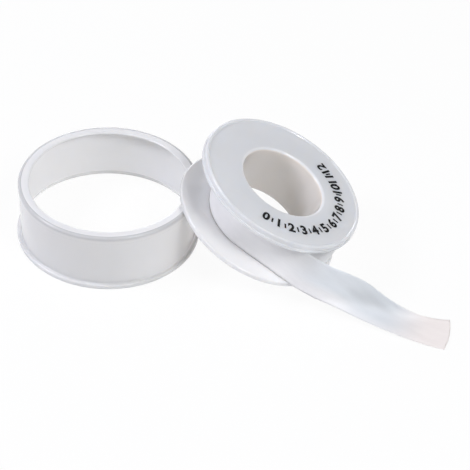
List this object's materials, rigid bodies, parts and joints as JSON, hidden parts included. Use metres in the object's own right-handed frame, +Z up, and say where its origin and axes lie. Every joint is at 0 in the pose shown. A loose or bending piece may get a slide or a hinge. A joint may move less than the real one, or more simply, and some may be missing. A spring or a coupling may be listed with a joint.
{
  "type": "thread seal tape roll",
  "caption": "Open roll of thread seal tape: a plastic casing ring, a flanged reel leaning on its rim, and a loosened end of white film tape running onto the table.",
  "frame": {"origin": "on the casing ring's axis where its straight seat starts, 2.2 mm above the table, over the flared mouth", "axes": "+Z up from the table, along the casing's axis; +X from the casing towards the reel and the tape's end, square to the picture's line of sight; +Y away from the camera"},
  "size_m": [0.1216, 0.0658, 0.0341],
  "materials": {
    "casing_plastic": "milky, satin",
    "reel_plastic": "milky, satin",
    "wound_tape": "soft film, edge on",
    "free_tape": "soft film"
  },
  "bodies": {
    "casing": {"casing_ring": "casing_plastic"},
    "free_tape": {"tape_lead": "free_tape"},
    "turning_reel": {"reel": "reel_plastic", "tape_winding": "wound_tape"}
  },
  "joints": [
    {"name": "roll_lift", "type": "slide", "parent": "casing", "child": "free_tape", "axis": [0, 0, 1], "range_m": [0, 0.06]},
    {"name": "reel_turn", "type": "hinge", "parent": "free_tape", "child": "turning_reel", "pos_m": [0.04509, -0.00339, 0.01492], "axis": [0.4058, -0.0305, 0.9134], "continuous": true}
  ]
}
